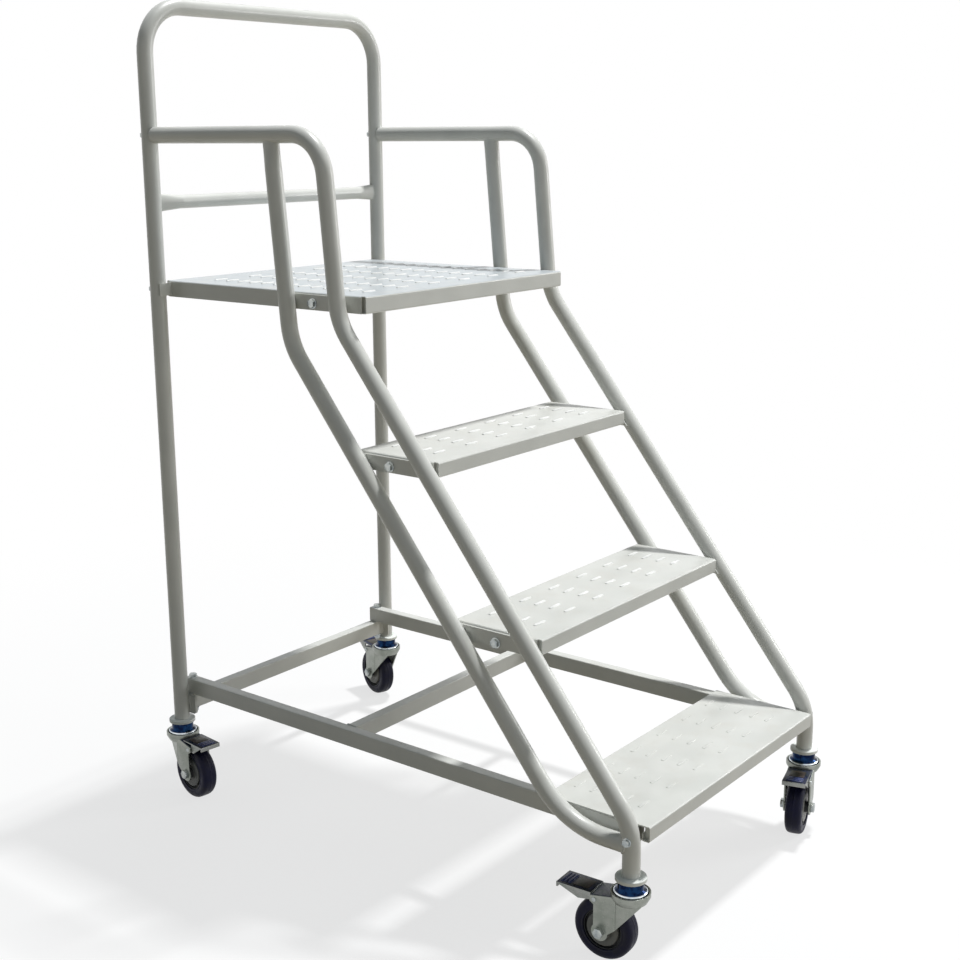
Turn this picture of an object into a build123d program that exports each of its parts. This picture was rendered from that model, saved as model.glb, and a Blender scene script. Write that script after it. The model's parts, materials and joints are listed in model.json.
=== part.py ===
"""Rolling step ladder: three treads and a platform on a welded tube frame, on four braked casters.

Millimetres, +Z up, the floor at Z = 0. The climber comes from -Y, and +X is the climber's right.
The origin is on the floor, under the middle of the overall box.
"""
import os
from math import atan, cos, radians, sin, tan

from build123d import *

# Stairs
STAIR_RISE = 250.0          # from one tread's top to the next
STAIR_RUN = 200.0           # from one tread's front edge to the next
FIRST_TOP = 220.0           # bottom tread's top above the floor
TREAD_DEPTH = 170.0
BOTTOM_TREAD_DEPTH = 190.0
TREAD_FLANGE = 25.0
TREAD_NOSE = 19.0           # front edge ahead of the outer tube's centre line
PLATFORM_FLANGE = 28.0
PLATFORM_NOSE = 41.0        # front edge ahead of the outer tube's upper bend
SHEET = 2.0
SHEET_BEND = 3.0            # outside radius of a folded edge
RETURN_W = 14.0             # front and rear flanges turn in under the tread by this
RETURN_LIP = 12.0           # and up again by this
SIDE_SETBACK = 8.0          # side flanges start this far behind the front flange

# Frame tubes
TUBE_D = 28.0
WHEELBASE = 1000.0          # front legs to rear posts
FRONT_LEG_Y = -527.0        # front legs' centre line from the origin
FRAME_HALF = 292.0          # middle plane to the tubes' centre lines
TUBE_SPACING = 112.0        # outer to inner side tube, centre to centre
LEG_BEND_Z = 223.0          # where the stair slope meets the front leg
UPPER_BEND_Z = 929.0        # where the stair slope meets the hand rail's leg
UPPER_LEAN = 5.2            # degrees, hand rail's legs lean to the rear
ARM_Z = 1221.0              # hand rail's centre line
ARM_BEND_R = 70.0
UPPER_BEND_R = 110.0
LEG_BEND_R = 100.0
FOOT_BEND_R = 150.0         # inner tube's sweep into the front leg
FOOT_Z = 193.0              # inner tube's level where it meets the leg
TOP_BAR_Z = 1437.0          # back guard's centre line
TOP_BEND_R = 80.0
MID_BAR_Z = 1106.0
MID_BAR_D = 24.0
MID_BAR_FLAT = 9.0          # thickness of its flattened ends
MID_BAR_FLARE = 32.0        # height of its flattened ends
MID_BAR_FLARE_LENGTH = 45.0
PRESSED_W = 33.0            # inner tube's top end, pressed flat under the hand rail: seen from the side
PRESSED_T = 19.0            # and seen from the front
PRESSED_LENGTH = 40.0
WELD_GAP = 0.05             # left where one piece is shaped to another

# Base
BEAM_W = 20.0
BEAM_H = 30.0
BEAM_WALL = 1.5
BEAM_CORNER = 2.0
RAIL_INSET = 6.0            # rails' outer face in from the tubes' inner side
RAIL_FRONT_Y = 3.0          # rails' front end behind the front legs' centre line
MID_BEAM_Y = 597.0          # middle crossbar behind the front legs
END_PLATE_T = 5.0
END_PLATE_LENGTH = 40.0
END_PLATE_DROP = 6.0        # below the rear crossbar's underside
END_PLATE_SHIFT = -3.0      # its middle from the rear posts' centre line
LEG_LUG_SIZE = 30.0

# Step brackets
BRACKET_T = 4.0
BRACKET_H = 25.0
BRACKET_TOP = 3.0           # below the tread's top
SEAT_GAP = 0.3

# Wheels
WHEEL_D = 100.0
WHEEL_W = 30.0
TRAIL = 40.0                # wheel's axle from the swivel axis
HUB_D = 66.0
HUB_RIM = 2.0               # thickness of the ring that carries the tyre
HUB_INSET = 2.0             # its face in from the tyre's side
GUARD_D = 54.0
GUARD_INSET = 1.0           # thread guard's face in from the tyre's side
GROOVE_DEPTH = 6.0          # between the thread guard and the ring
TYRE_EDGE_R = 8.0
TYRE_EDGE_STEPS = (0, 45, 90)   # degrees round the tyre's edge at which its outline has a corner
AXLE_D = 10.0
AXLE_FIT = 0.05             # radial running clearance
AXLE_HEAD_D = 17.0
AXLE_HEAD_T = 6.5

# Forks, with s along the trail from the swivel axis
FORK_T = 2.5
FORK_SIDE_GAP = 5.8         # wheel to fork, each side
FORK_EYE_R = 14.0           # rounded end of a fork leg, round the axle
FORK_LEG_END_S = 50.5       # rear edge of the legs
FORK_EAR_H = 10.0           # the legs' top reaches to the saddle's end over this height
FORK_EAR_SLOPE = 4.0        # and narrows to the leg over this height
SADDLE_SIDE_BEND = 4.0      # outside radius where the saddle turns down into the legs
FORK_CREASE_S = 14.0        # ahead of this the fork's sides turn in
FORK_NOSE_S = -24.0         # front end of the fork
FORK_NOSE_HALF = 13.5       # fork's half width at its front end
FORK_NOSE_LOW = 105.0       # lowest level of the front end
FORK_CREASE_LOW = 80.0      # lowest level of the turned-in sides
FORK_TOP = 115.5
SADDLE_BEND_S = 11.0        # behind this the fork's top slopes down over the wheel
SADDLE_END_S = 57.0
SADDLE_END_Z = 107.5

# Swivel heads
CUP_RIM_Z = 120.5           # top edge of the cup pressed into the fork
CUP_RIM_R = 30.5
CUP_SIDE = 7.0              # height of its upright side
CUP_LOW_Z = 105.0
CUP_LOW_R = 26.0
RACE_R = 26.0               # fixed upper race
RACE_TOP_Z = 122.0
RACE_LOW_Z = 117.0
RACE_BALL_R = 13.0          # inner end of the race's underside
RACE_BALL_Z = 113.5
NECK_D = 40.0
NECK_LOW_Z = 126.0
KINGPIN_D = 12.0
KINGPIN_BUTTON_D = 18.0
KINGPIN_GAP = 0.3           # under the cup
COLLAR_D = 48.5
COLLAR_H = 6.0
COLLAR_EDGE = 1.0
LEG_END_Z = 142.0           # lower ends of the legs and posts, inside the collars
COLLAR_BELOW = 2.5          # collar's face below the tube's end

# Brake pedals
PEDAL_LENGTH = 60.0
PEDAL_T = 2.5
PEDAL_LIP = 8.0             # its tip, turned down
CHEEK_FRONT_S = 44.0        # pedal's cheeks reach this far in between the fork's legs
CHEEK_FRONT_Z = 100.0       # their underside there
# Pedals' places: root's s and top, rise to the tip, s and level of the cheeks' lowest corner
PEDAL_DOWN = (57.3, 109.5, 0.5, 79.0, 94.0)
PEDAL_UP = (31.5, 115.0, 1.0, 64.0, 97.0)      # a released pedal lies over the fork's top

TUBE_R = TUBE_D / 2
WHEEL_R = WHEEL_D / 2
STAIR_SLOPE = STAIR_RUN / STAIR_RISE
FRONT_Y = FRONT_LEG_Y
REAR_Y = FRONT_Y + WHEELBASE
TREAD_HALF = FRAME_HALF - TUBE_R - BRACKET_T - SEAT_GAP
PLATFORM_TOP = FIRST_TOP + 3 * STAIR_RISE
RAIL_TOP = FIRST_TOP - SHEET
RAIL_OUTER = FRAME_HALF - TUBE_R - RAIL_INSET
FORK_INNER = WHEEL_W / 2 + FORK_SIDE_GAP
SIDE_VIEW = Plane(origin=(0, 0, 0), x_dir=(1, 0, 0), z_dir=(0, -1, 0))

os.makedirs("parts", exist_ok=True)
PARTS = {}


def keep(name, shape):
    """Store one finished piece under its node name."""
    PARTS[name] = shape


def tube_along(points, radii, diameter):
    """Round bar along straight runs joined by bends."""
    path = FilletPolyline(*points, radius=radii) if radii else Polyline(*points)
    section = Plane(origin=path @ 0, z_dir=path % 0) * Circle(diameter / 2)
    return sweep(section, path=path)


def beam(length, axis):
    """Rectangular tube, open at its ends, centred on the origin along one axis."""
    outer = RectangleRounded(BEAM_W, BEAM_H, BEAM_CORNER)
    inner = RectangleRounded(BEAM_W - 2 * BEAM_WALL, BEAM_H - 2 * BEAM_WALL, BEAM_CORNER - BEAM_WALL)
    plane = SIDE_VIEW if axis == "Y" else Plane.YZ
    return extrude(plane * (outer - inner), length / 2, both=True)


def folded(corners, plane, width):
    """Sheet bent along a line of outside corners in a plane, its width centred on that plane."""
    line = FilletPolyline(*corners, radius=SHEET_BEND)
    sheet = make_brake_formed(SHEET, width, line=line, side=Side.RIGHT, kind=Kind.INTERSECTION)
    return plane.location * Pos(0, 0, width / 2) * sheet


def tray(half_width, depth, flange, sides=True):
    """Folded tread: front and rear flanges that turn in and up again, and plain flanges at the sides.

    The top face is at Z = 0 and the front edge at Y = 0.
    """
    lip_top = RETURN_LIP - flange
    channel_half = half_width - SHEET_BEND if sides else half_width
    channel = folded([
        (RETURN_W, lip_top), (RETURN_W, -flange), (0, -flange), (0, 0),
        (depth, 0), (depth, -flange), (depth - RETURN_W, -flange), (depth - RETURN_W, lip_top),
    ], Plane.YZ, 2 * channel_half)
    if not sides:
        return channel
    edge = [(half_width - 2 * SHEET_BEND, 0), (half_width, 0), (half_width, -flange)]
    side = Pos(0, depth / 2, 0) * folded(edge, SIDE_VIEW, depth - 2 * SIDE_SETBACK)
    return channel + side + mirror(side, Plane.YZ)


def slope_y(z):
    """Outer tube's centre line on the stair slope."""
    return FRONT_Y + (z - LEG_BEND_Z) * STAIR_SLOPE


def side_paths():
    """Corner points (y, z) of the outer and inner side tubes."""
    lean = radians(UPPER_LEAN)
    slope = atan(STAIR_SLOPE)
    bend = (slope_y(UPPER_BEND_Z), UPPER_BEND_Z)
    arm_corner = bend[0] + (ARM_Z - UPPER_BEND_Z) * tan(lean)
    outer = [
        (REAR_Y - TUBE_R - WELD_GAP, ARM_Z),
        (arm_corner, ARM_Z),
        bend,
        (FRONT_Y, LEG_BEND_Z),
        (FRONT_Y, LEG_END_Z),
    ]
    half_turn = (slope - lean) / 2
    middle = (slope + lean) / 2
    reach = TUBE_SPACING / cos(half_turn)
    inner_bend = (bend[0] + reach * cos(middle), bend[1] - reach * sin(middle))
    foot_y = slope_y(FOOT_Z) + TUBE_SPACING / cos(slope)
    inner = [
        (inner_bend[0] + (ARM_Z - inner_bend[1]) * tan(lean), ARM_Z),
        inner_bend,
        (foot_y, FOOT_Z),
        (FRONT_Y, FOOT_Z),
    ]
    return outer, inner


def pressed_end(top, below):
    """Flattened upper end of an inner tube, and the point where its round part starts."""
    up = (Vector(*top) - Vector(*below)).normalized()
    flat_start = Vector(*top) - up * TUBE_R
    round_end = flat_start - up * PRESSED_LENGTH
    oval = Plane(origin=flat_start, x_dir=(1, 0, 0), z_dir=up) * Ellipse(PRESSED_T / 2, PRESSED_W / 2)
    circle = Plane(origin=round_end, x_dir=(1, 0, 0), z_dir=up) * Circle(TUBE_R)
    return loft([circle, oval]) + extrude(oval, TUBE_R), tuple(round_end)


def side_tubes(side):
    """Outer tube with the hand rail, and the inner tube shaped to it at both ends."""
    x = side * FRAME_HALF
    outer, inner = side_paths()
    outer_points = [(x, y, z) for y, z in outer]
    inner_points = [(x, y, z) for y, z in inner]
    outer_radii = [ARM_BEND_R, UPPER_BEND_R, LEG_BEND_R]
    inner_radii = [UPPER_BEND_R, FOOT_BEND_R]
    outer_tube = tube_along(outer_points, outer_radii, TUBE_D)
    clearance = tube_along(outer_points, outer_radii, TUBE_D + 2 * WELD_GAP)
    pressed, inner_points[0] = pressed_end(inner_points[0], inner_points[1])
    inner_tube = pressed + tube_along(inner_points, inner_radii, TUBE_D) - clearance
    post = Pos(x, REAR_Y, ARM_Z) * Cylinder(TUBE_R + WELD_GAP, 4 * TUBE_D)
    return outer_tube - post, inner_tube


def rear_frame():
    """Back guard and rear posts, one bent tube."""
    points = [
        (-FRAME_HALF, REAR_Y, LEG_END_Z),
        (-FRAME_HALF, REAR_Y, TOP_BAR_Z),
        (FRAME_HALF, REAR_Y, TOP_BAR_Z),
        (FRAME_HALF, REAR_Y, LEG_END_Z),
    ]
    return tube_along(points, [TOP_BEND_R, TOP_BEND_R], TUBE_D)


def mid_bar():
    """Cross tube of the back guard, its ends pressed flat and shaped to the posts."""
    half = FRAME_HALF
    straight = half - TUBE_R - MID_BAR_FLARE_LENGTH
    bar = Rot(0, 90, 0) * Cylinder(MID_BAR_D / 2, 2 * straight)
    for side in (-1, 1):
        round_end = Plane(origin=(side * straight, 0, 0), z_dir=(side, 0, 0), x_dir=(0, 1, 0))
        flat_end = Plane(origin=(side * (half - TUBE_R / 2), 0, 0), z_dir=(side, 0, 0), x_dir=(0, 1, 0))
        bar += loft([
            round_end * Circle(MID_BAR_D / 2),
            flat_end * Ellipse(MID_BAR_FLAT / 2, MID_BAR_FLARE / 2),
        ])
    bar = Pos(0, REAR_Y, MID_BAR_Z) * bar
    for side in (-1, 1):
        bar -= Pos(side * half, REAR_Y, MID_BAR_Z) * Cylinder(TUBE_R + WELD_GAP, 4 * TUBE_D)
    return bar


def rail(side):
    """Side rail of the base, from the rear crossbar to the front leg, with the lug at the leg."""
    front = FRONT_Y + RAIL_FRONT_Y
    rear = REAR_Y + BEAM_W / 2
    x = side * (RAIL_OUTER - BEAM_W / 2)
    z = RAIL_TOP - BEAM_H / 2
    bar = Pos(x, (front + rear) / 2, z) * beam(rear - front, "Y")
    lug_x = side * (RAIL_OUTER + RAIL_INSET / 2)
    lug = Box(RAIL_INSET, LEG_LUG_SIZE, LEG_LUG_SIZE - 2 * BEAM_CORNER)
    lug = Pos(lug_x, FRONT_Y + LEG_LUG_SIZE / 2, z) * lug
    leg = Pos(side * FRAME_HALF, FRONT_Y, z) * Cylinder(TUBE_R + WELD_GAP, 4 * BEAM_H)
    return bar + (lug - leg)


def rear_crossbar():
    """Crossbar under the rails' rear ends, with the end plates that carry it on the posts."""
    top = RAIL_TOP - BEAM_H
    z = top - BEAM_H / 2
    plate_outer = FRAME_HALF - TUBE_R
    half = plate_outer - END_PLATE_T
    bar = Pos(0, REAR_Y, z) * beam(2 * half, "X")
    plate_h = BEAM_H + END_PLATE_DROP
    for side in (-1, 1):
        plate = Box(END_PLATE_T, END_PLATE_LENGTH, plate_h)
        plate = fillet(plate.edges().filter_by(Axis.X).group_by(Axis.Z)[0], END_PLATE_DROP)
        x = side * (plate_outer - END_PLATE_T / 2)
        bar += Pos(x, REAR_Y + END_PLATE_SHIFT, top - plate_h / 2) * plate
    return bar


def mid_crossbar():
    """Crossbar between the rails, level with them."""
    half = RAIL_OUTER - BEAM_W
    return Pos(0, FRONT_Y + MID_BEAM_Y, RAIL_TOP - BEAM_H / 2) * beam(2 * half, "X")


def step_bracket(side, top_z):
    """Flat bar across the inner side of the two side tubes, level with a tread's flange."""
    z_high = top_z - BRACKET_TOP
    z_low = z_high - BRACKET_H
    outer_path, inner_path = side_paths()
    front = [line_y(outer_path, z) for z in (z_low, z_high)]
    rear = [line_y(inner_path, z) for z in (z_low, z_high)]
    outline = Polyline(
        (front[0], z_low), (rear[0], z_low), (rear[1], z_high), (front[1], z_high), close=True)
    plane = Plane.YZ.offset(side * (FRAME_HALF - TUBE_R))
    return extrude(plane * make_face(outline), -side * BRACKET_T)


def line_y(path, z):
    """Y of a side tube's centre line at a level between the hand rail and the floor."""
    for (y_a, z_a), (y_b, z_b) in zip(path[1:], path[2:]):
        if z_b <= z <= z_a:
            return y_a + (y_b - y_a) * (z_a - z) / (z_a - z_b)
    return path[1][0] + (z - path[1][1]) * tan(radians(UPPER_LEAN))


def platform():
    """Platform tray with the ears that bolt to the front of the rear posts."""
    front = slope_y(UPPER_BEND_Z) - PLATFORM_NOSE
    deck = Pos(0, front, PLATFORM_TOP) * tray(TREAD_HALF, REAR_Y - front, PLATFORM_FLANGE)
    ear_w = FRAME_HALF + TUBE_R / 2 - TREAD_HALF
    for side in (-1, 1):
        x = side * (TREAD_HALF + ear_w / 2)
        ear = Pos(x, REAR_Y - TUBE_R - SHEET / 2, PLATFORM_TOP - PLATFORM_FLANGE / 2)
        deck += ear * Box(ear_w + 2 * SHEET, SHEET, PLATFORM_FLANGE - 2 * SHEET_BEND)
    return deck


def bottom_tread():
    """Tread that lies on the side rails, its rear flange notched round them."""
    tread = tray(RAIL_OUTER, BOTTOM_TREAD_DEPTH, TREAD_FLANGE, sides=False)
    tread = Pos(0, FRONT_Y - TREAD_NOSE, FIRST_TOP) * tread
    for side in (-1, 1):
        x = side * (RAIL_OUTER - BEAM_W / 2)
        notch = Box(BEAM_W + 2 * SEAT_GAP, BOTTOM_TREAD_DEPTH, BEAM_H)
        tread -= Pos(x, FRONT_Y + BOTTOM_TREAD_DEPTH / 2, RAIL_TOP - BEAM_H / 2) * notch
    return tread


def turned_profile(points):
    """Solid turned about Z from an outline of corners (radius, z)."""
    return revolve(SIDE_VIEW * make_face(Polyline(*points, close=True)), Axis.Z)


def collar():
    """Plastic ring round a leg's lower end."""
    low = LEG_END_Z - COLLAR_BELOW
    ring = Pos(0, 0, low + COLLAR_H / 2) * Cylinder(COLLAR_D / 2, COLLAR_H)
    ring = chamfer(ring.edges().group_by(Axis.Z)[-1], COLLAR_EDGE)
    return ring - Pos(0, 0, LEG_END_Z + COLLAR_H / 2) * Cylinder(TUBE_R, COLLAR_H)


def caster_head():
    """Fixed part of the swivel: neck, upper race, king pin and its button."""
    pin_low = CUP_LOW_Z - KINGPIN_GAP
    return turned_profile([
        (0, LEG_END_Z - COLLAR_BELOW), (NECK_D / 2, LEG_END_Z - COLLAR_BELOW), (NECK_D / 2, NECK_LOW_Z),
        (RACE_R, RACE_TOP_Z), (RACE_R, RACE_LOW_Z), (RACE_BALL_R, RACE_BALL_Z),
        (KINGPIN_D / 2, RACE_BALL_Z), (KINGPIN_D / 2, pin_low), (KINGPIN_BUTTON_D / 2, pin_low),
        (KINGPIN_BUTTON_D / 2, pin_low - FORK_T), (0, pin_low - FORK_T),
    ])


def fork_plan(inset):
    """Fork's outline seen from above, in from its outer faces by the inset, up to the top."""
    points = [
        (SADDLE_END_S, FORK_INNER + FORK_T - inset), (FORK_CREASE_S, FORK_INNER + FORK_T - inset),
        (FORK_NOSE_S, FORK_NOSE_HALF - inset)]
    points += [(s, -y) for s, y in reversed(points)]
    return extrude(make_face(Polyline(*points, close=True)), FORK_TOP)


def fork():
    """Pressed fork: a cup for the swivel, a saddle that slopes down over the wheel, and two legs."""
    saddle_top = [(FORK_NOSE_S, FORK_TOP), (SADDLE_BEND_S, FORK_TOP), (SADDLE_END_S, SADDLE_END_Z)]
    saddle_low = [(s, z - FORK_T) for s, z in reversed(saddle_top)]
    ear_low = SADDLE_END_Z - FORK_EAR_H
    leg = make_face(Polyline(
        *saddle_top, (SADDLE_END_S, ear_low), (FORK_LEG_END_S, ear_low - FORK_EAR_SLOPE),
        (FORK_LEG_END_S, WHEEL_R), (TRAIL - FORK_EYE_R, WHEEL_R),
        (FORK_CREASE_S, FORK_CREASE_LOW), (FORK_NOSE_S, FORK_NOSE_LOW), close=True))
    leg += Pos(TRAIL, WHEEL_R) * Circle(FORK_EYE_R)
    saddle = make_face(Polyline(*saddle_top, *saddle_low, close=True))
    reach = FORK_INNER + 2 * FORK_T
    legs = (fork_plan(0) - fork_plan(FORK_T)) & extrude(SIDE_VIEW * leg, reach, both=True)
    shape = legs + (fork_plan(0) & extrude(SIDE_VIEW * saddle, reach, both=True))
    outer = FORK_INNER + FORK_T
    folds = [edge for edge in shape.edges() if abs(abs(edge.center().Y) - outer) < SEAT_GAP
             and abs(edge.center().Z - (FORK_TOP + SADDLE_END_Z) / 2) < SEAT_GAP]
    shape = fillet(folds, SADDLE_SIDE_BEND)
    shape += turned_profile([
        (0, CUP_LOW_Z), (CUP_LOW_R, CUP_LOW_Z), (CUP_RIM_R, CUP_RIM_Z - CUP_SIDE),
        (CUP_RIM_R, CUP_RIM_Z), (0, CUP_RIM_Z)])
    shape -= turned_profile([
        (0, CUP_LOW_Z + FORK_T), (CUP_LOW_R - FORK_T, CUP_LOW_Z + FORK_T),
        (CUP_RIM_R - FORK_T, CUP_RIM_Z - CUP_SIDE), (CUP_RIM_R - FORK_T, CUP_RIM_Z + FORK_T),
        (0, CUP_RIM_Z + FORK_T)])
    shape -= Pos(0, 0, CUP_LOW_Z) * Cylinder(KINGPIN_D / 2 + AXLE_FIT, 4 * FORK_T)
    axle_bore = Rot(90, 0, 0) * Cylinder(AXLE_D / 2 + AXLE_FIT, 4 * WHEEL_W)
    return shape - Pos(TRAIL, 0, WHEEL_R) * axle_bore


def pedal(place):
    """Brake pedal: a plate with a turned tip, and cheeks that reach in between the fork's legs."""
    start, top, rise, low_s, low_z = place
    tip = start + PEDAL_LENGTH
    tip_top = top + rise
    low = top - PEDAL_T
    tip_low = tip_top - PEDAL_T
    half = FORK_INNER - SEAT_GAP
    plate = make_face(Polyline(
        (start, low), (start, top), (tip, tip_top), (tip, tip_top - PEDAL_LIP),
        (tip - PEDAL_T, tip_top - PEDAL_LIP), (tip - PEDAL_T, tip_low), close=True))
    behind = SADDLE_END_S + SEAT_GAP
    lug_top = SADDLE_END_Z - FORK_T - SEAT_GAP
    rise_behind = rise * (behind - start) / PEDAL_LENGTH
    cheek = make_face(Polyline(
        (CHEEK_FRONT_S, lug_top), (behind, lug_top), (behind, low + rise_behind + PEDAL_T / 2),
        (tip - PEDAL_T, tip_low), (low_s, low_z), (CHEEK_FRONT_S, CHEEK_FRONT_Z), close=True))
    shape = extrude(SIDE_VIEW * plate, half, both=True)
    between = Box(4 * PEDAL_LENGTH, 2 * (half - PEDAL_T), 4 * WHEEL_D)
    return shape + (extrude(SIDE_VIEW * cheek, half, both=True) - between)


def axle():
    """Wheel bolt with its head and nut."""
    reach = FORK_INNER + FORK_T
    total = reach + AXLE_HEAD_T
    rod = Cylinder(AXLE_D / 2, 2 * reach)
    for side in (-1, 1):
        head = extrude(RegularPolygon(AXLE_HEAD_D / 2, 6), AXLE_HEAD_T)
        rod += Pos(0, 0, reach if side > 0 else -total) * head
    return Pos(TRAIL, 0, WHEEL_R) * Rot(90, 0, 0) * rod


def wheel_part(half_outline):
    """Piece of the wheel, turned about the axle from half its outline of corners (radius, half width)."""
    outline = half_outline + [(r, -w) for r, w in reversed(half_outline)]
    return Pos(TRAIL, 0, WHEEL_R) * Rot(90, 0, 0) * turned_profile(outline)


def hub():
    """Wheel centre: long boss with the axle bore, thread guards, and the ring that carries the tyre."""
    bore = AXLE_D / 2 + AXLE_FIT
    boss_end = FORK_INNER - SEAT_GAP
    guard = WHEEL_W / 2 - GUARD_INSET
    face = WHEEL_W / 2 - HUB_INSET
    groove = guard - GROOVE_DEPTH
    rim_inner = HUB_D / 2 - HUB_RIM
    return wheel_part([
        (bore, boss_end), (AXLE_D, boss_end), (AXLE_D, guard), (GUARD_D / 2, guard),
        (GUARD_D / 2, groove), (rim_inner, groove), (rim_inner, face), (HUB_D / 2, face)])


def tyre():
    """Rubber tyre on the hub."""
    edge = []
    for angle in TYRE_EDGE_STEPS:
        turn = radians(angle)
        edge.append((WHEEL_R - TYRE_EDGE_R * (1 - sin(turn)), WHEEL_W / 2 - TYRE_EDGE_R * (1 - cos(turn))))
    return wheel_part([(HUB_D / 2, WHEEL_W / 2)] + edge)


# Casters: name, side, place along Y, heading of the trail in degrees from +X, pedal's place
CASTERS = [
    ("front_left", -1, FRONT_Y, 94.0, PEDAL_DOWN),
    ("rear_left", -1, REAR_Y, -98.0, PEDAL_UP),
    ("rear_right", 1, REAR_Y, 72.0, PEDAL_UP),
    ("front_right", 1, FRONT_Y, 195.0, PEDAL_UP),
]
# Steps above the bottom one: name, number of rises above it
STEPS = [("lower", 1), ("upper", 2)]
SIDES = [("left", -1), ("right", 1)]

keep("rear_frame", rear_frame())
keep("guard_mid_bar", mid_bar())
for side_name, side in SIDES:
    outer_tube, inner_tube = side_tubes(side)
    keep(f"outer_tube_{side_name}", outer_tube)
    keep(f"inner_tube_{side_name}", inner_tube)
    keep(f"base_rail_{side_name}", rail(side))
    keep(f"platform_bracket_{side_name}", step_bracket(side, PLATFORM_TOP))
keep("rear_crossbar", rear_crossbar())
keep("mid_crossbar", mid_crossbar())
keep("platform", platform())
keep("bottom_tread", bottom_tread())
for step_name, rises in STEPS:
    top_z = FIRST_TOP + rises * STAIR_RISE
    front_y = slope_y(top_z) - TREAD_NOSE
    keep(f"{step_name}_tread", Pos(0, front_y, top_z) * tray(TREAD_HALF, TREAD_DEPTH, TREAD_FLANGE))
    for side_name, side in SIDES:
        keep(f"{step_name}_bracket_{side_name}", step_bracket(side, top_z))
for corner, side, y, heading, pedal_place in CASTERS:
    place = Pos(side * FRAME_HALF, y, 0)
    keep(f"{corner}_collar", place * collar())
    keep(f"{corner}_caster_head", place * caster_head())
    turned = place * Rot(0, 0, heading)
    for piece, make in (("fork", fork), ("axle", axle), ("hub", hub), ("tyre", tyre)):
        keep(f"{corner}_{piece}", turned * make())
    keep(f"{corner}_pedal", turned * pedal(pedal_place))

for name, shape in PARTS.items():
    export_step(shape, f"parts/{name}.step")
overall = Compound(children=list(PARTS.values())).bounding_box()
print("pieces", len(PARTS), "lowest", overall.min, "highest", overall.max)
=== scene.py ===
# %% [markdown]
# # A rolling step ladder, dressed in Blender
#
# The ladder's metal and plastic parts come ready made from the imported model: bent round tubes, folded
# sheet treads, a platform and four braked swivel casters. What they lack is their finish and the small
# things that hold them together. This lesson adds the powder coat, the zinc plating and the rubber, the
# pressed grips on the treads, the bolts, the nuts, the rivets and the weld beads.
#
# Everything is in metres. The floor is at Z = 0, the climber comes from -Y, and +X is the climber's right.

# %% Load the ladder
import json
import math

import bmesh
import bpy
from mathutils import Euler, Matrix, Vector


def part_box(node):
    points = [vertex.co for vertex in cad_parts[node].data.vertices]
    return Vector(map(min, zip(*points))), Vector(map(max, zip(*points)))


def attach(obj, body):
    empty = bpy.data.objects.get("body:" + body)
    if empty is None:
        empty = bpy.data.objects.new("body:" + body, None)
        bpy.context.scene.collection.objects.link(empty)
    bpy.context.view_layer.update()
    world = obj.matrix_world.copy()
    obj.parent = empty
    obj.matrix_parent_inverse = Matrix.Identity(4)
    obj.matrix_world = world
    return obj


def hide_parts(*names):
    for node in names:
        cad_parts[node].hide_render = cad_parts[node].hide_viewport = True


MM = 0.001
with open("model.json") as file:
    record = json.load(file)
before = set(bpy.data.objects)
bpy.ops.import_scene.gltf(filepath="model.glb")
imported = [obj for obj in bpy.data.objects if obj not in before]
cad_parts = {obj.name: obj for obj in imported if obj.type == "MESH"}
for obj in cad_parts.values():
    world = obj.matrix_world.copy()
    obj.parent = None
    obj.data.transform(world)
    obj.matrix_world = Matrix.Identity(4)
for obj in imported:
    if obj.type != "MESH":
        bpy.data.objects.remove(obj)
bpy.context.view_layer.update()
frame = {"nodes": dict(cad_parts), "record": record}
nodes = frame["nodes"]
print("pieces from the model:", len(nodes))

# %% [markdown]
# ## The camera
#
# The photo was taken from the left front, at about eye height, with the lens of a small camera held a few
# steps away. The place and angles below are real sizes: they came from matching the ladder's corners. The
# heading is counted from straight ahead along +Y towards +X, and the tilt downwards.

# %% Camera
CAMERA_PLACE = (-1.976, -1.5555, 1.2173)
HEADING = math.radians(52.14)
TILT = math.radians(13.37)
ROLL = math.radians(0.31)
SENSOR = 36.0
LENS = 54.33

camera_data = bpy.data.cameras.new("camera")
camera_data.sensor_width = SENSOR
camera_data.lens = LENS
camera = bpy.data.objects.new("camera", camera_data)
bpy.context.scene.collection.objects.link(camera)
turn = Euler((math.pi / 2 - TILT, 0, -HEADING)).to_matrix() @ Matrix.Rotation(-ROLL, 3, "Z")
camera.matrix_world = Matrix.Translation(CAMERA_PLACE) @ turn.to_4x4()
bpy.context.scene.camera = camera
print("camera to the ladder's middle:", round((camera.location - Vector((0, 0, 0.7))).length, 2), "m")

# %% [markdown]
# ## Floor and light
#
# The light on the real ladder stands high over its right side: the treads' tops are the brightest, their
# shadows fall nearly straight down on the base, and the left sides stay in shade. A small softbox up there
# does the same, a wide one in front fills the faces that look at the climber, and a third at the right draws
# the bright lines along the tubes. The floor gives little and slightly warm light back, so that the shade
# stays dark, but the camera and the metal see it pale. Away from the ladder it turns white, so that no
# horizon shows, and it keeps the soft shadow under the casters.

# %% Studio
FLOOR_SIZE = 30.0
FLOOR_FADE = (0.5, 2.2)
FLOOR_WHITE = 0.72          # share of plain white that the camera sees even at the ladder's foot
FLOOR_BOUNCE = (0.31, 0.27, 0.19)
FLOOR_SEEN = (0.86, 0.86, 0.86)
KEY = {"place": (2.87, -0.34, 9.12), "size": 0.75, "power": 830.0}
FRONT = {"place": (0.4, -3.9, 0.9), "size": 2.0, "power": 22.0}
SIDE = {"place": (3.1, -2.2, 1.7), "size": 1.1, "power": 40.0}
SKY_LIGHT = (0.125, 0.145, 0.160)
AIM = Vector((0, 0, 0.6))


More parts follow.
